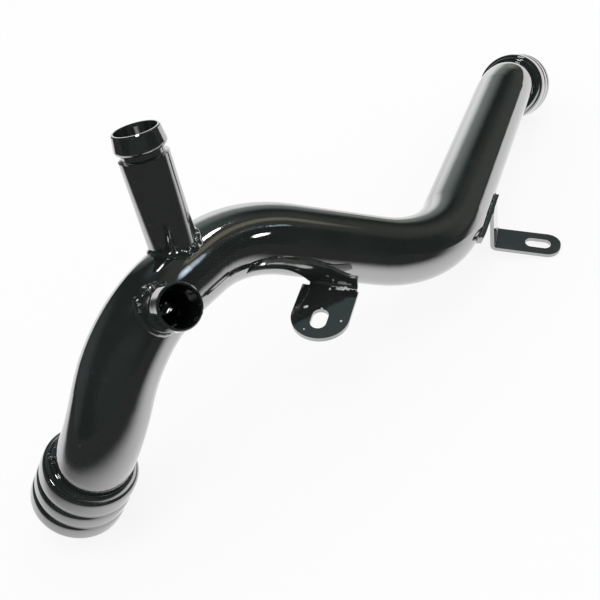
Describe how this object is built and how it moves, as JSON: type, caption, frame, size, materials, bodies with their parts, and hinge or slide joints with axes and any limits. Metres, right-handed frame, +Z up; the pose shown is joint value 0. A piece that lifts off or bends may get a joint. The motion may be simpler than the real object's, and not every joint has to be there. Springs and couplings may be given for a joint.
{
  "type": "coolant pipe",
  "caption": "Bent steel coolant pipe in gloss black paint, with grooved end fittings, beaded hose stubs and welded slotted brackets.",
  "frame": {"origin": "on the floor, under the middle of the part as it lies at rest", "axes": "+Z up from the floor it lies on; +Y along its length, from the near port towards the far port; +X towards the side that the end bracket's foot reaches out to"},
  "size_m": [0.2742, 0.3176, 0.1462],
  "materials": {
    "gloss_black": "gloss"
  },
  "bodies": {
    "root": {"main_tube": "gloss_black", "near_fitting": "gloss_black", "far_fitting": "gloss_black", "upper_stub": "gloss_black", "front_stub": "gloss_black", "mid_bracket": "gloss_black", "end_bracket": "gloss_black", "near_fitting_weld": "gloss_black", "far_fitting_weld": "gloss_black", "upper_stub_weld": "gloss_black", "front_stub_weld": "gloss_black", "mid_bracket_weld": "gloss_black", "end_bracket_weld": "gloss_black"}
  },
  "joints": []
}
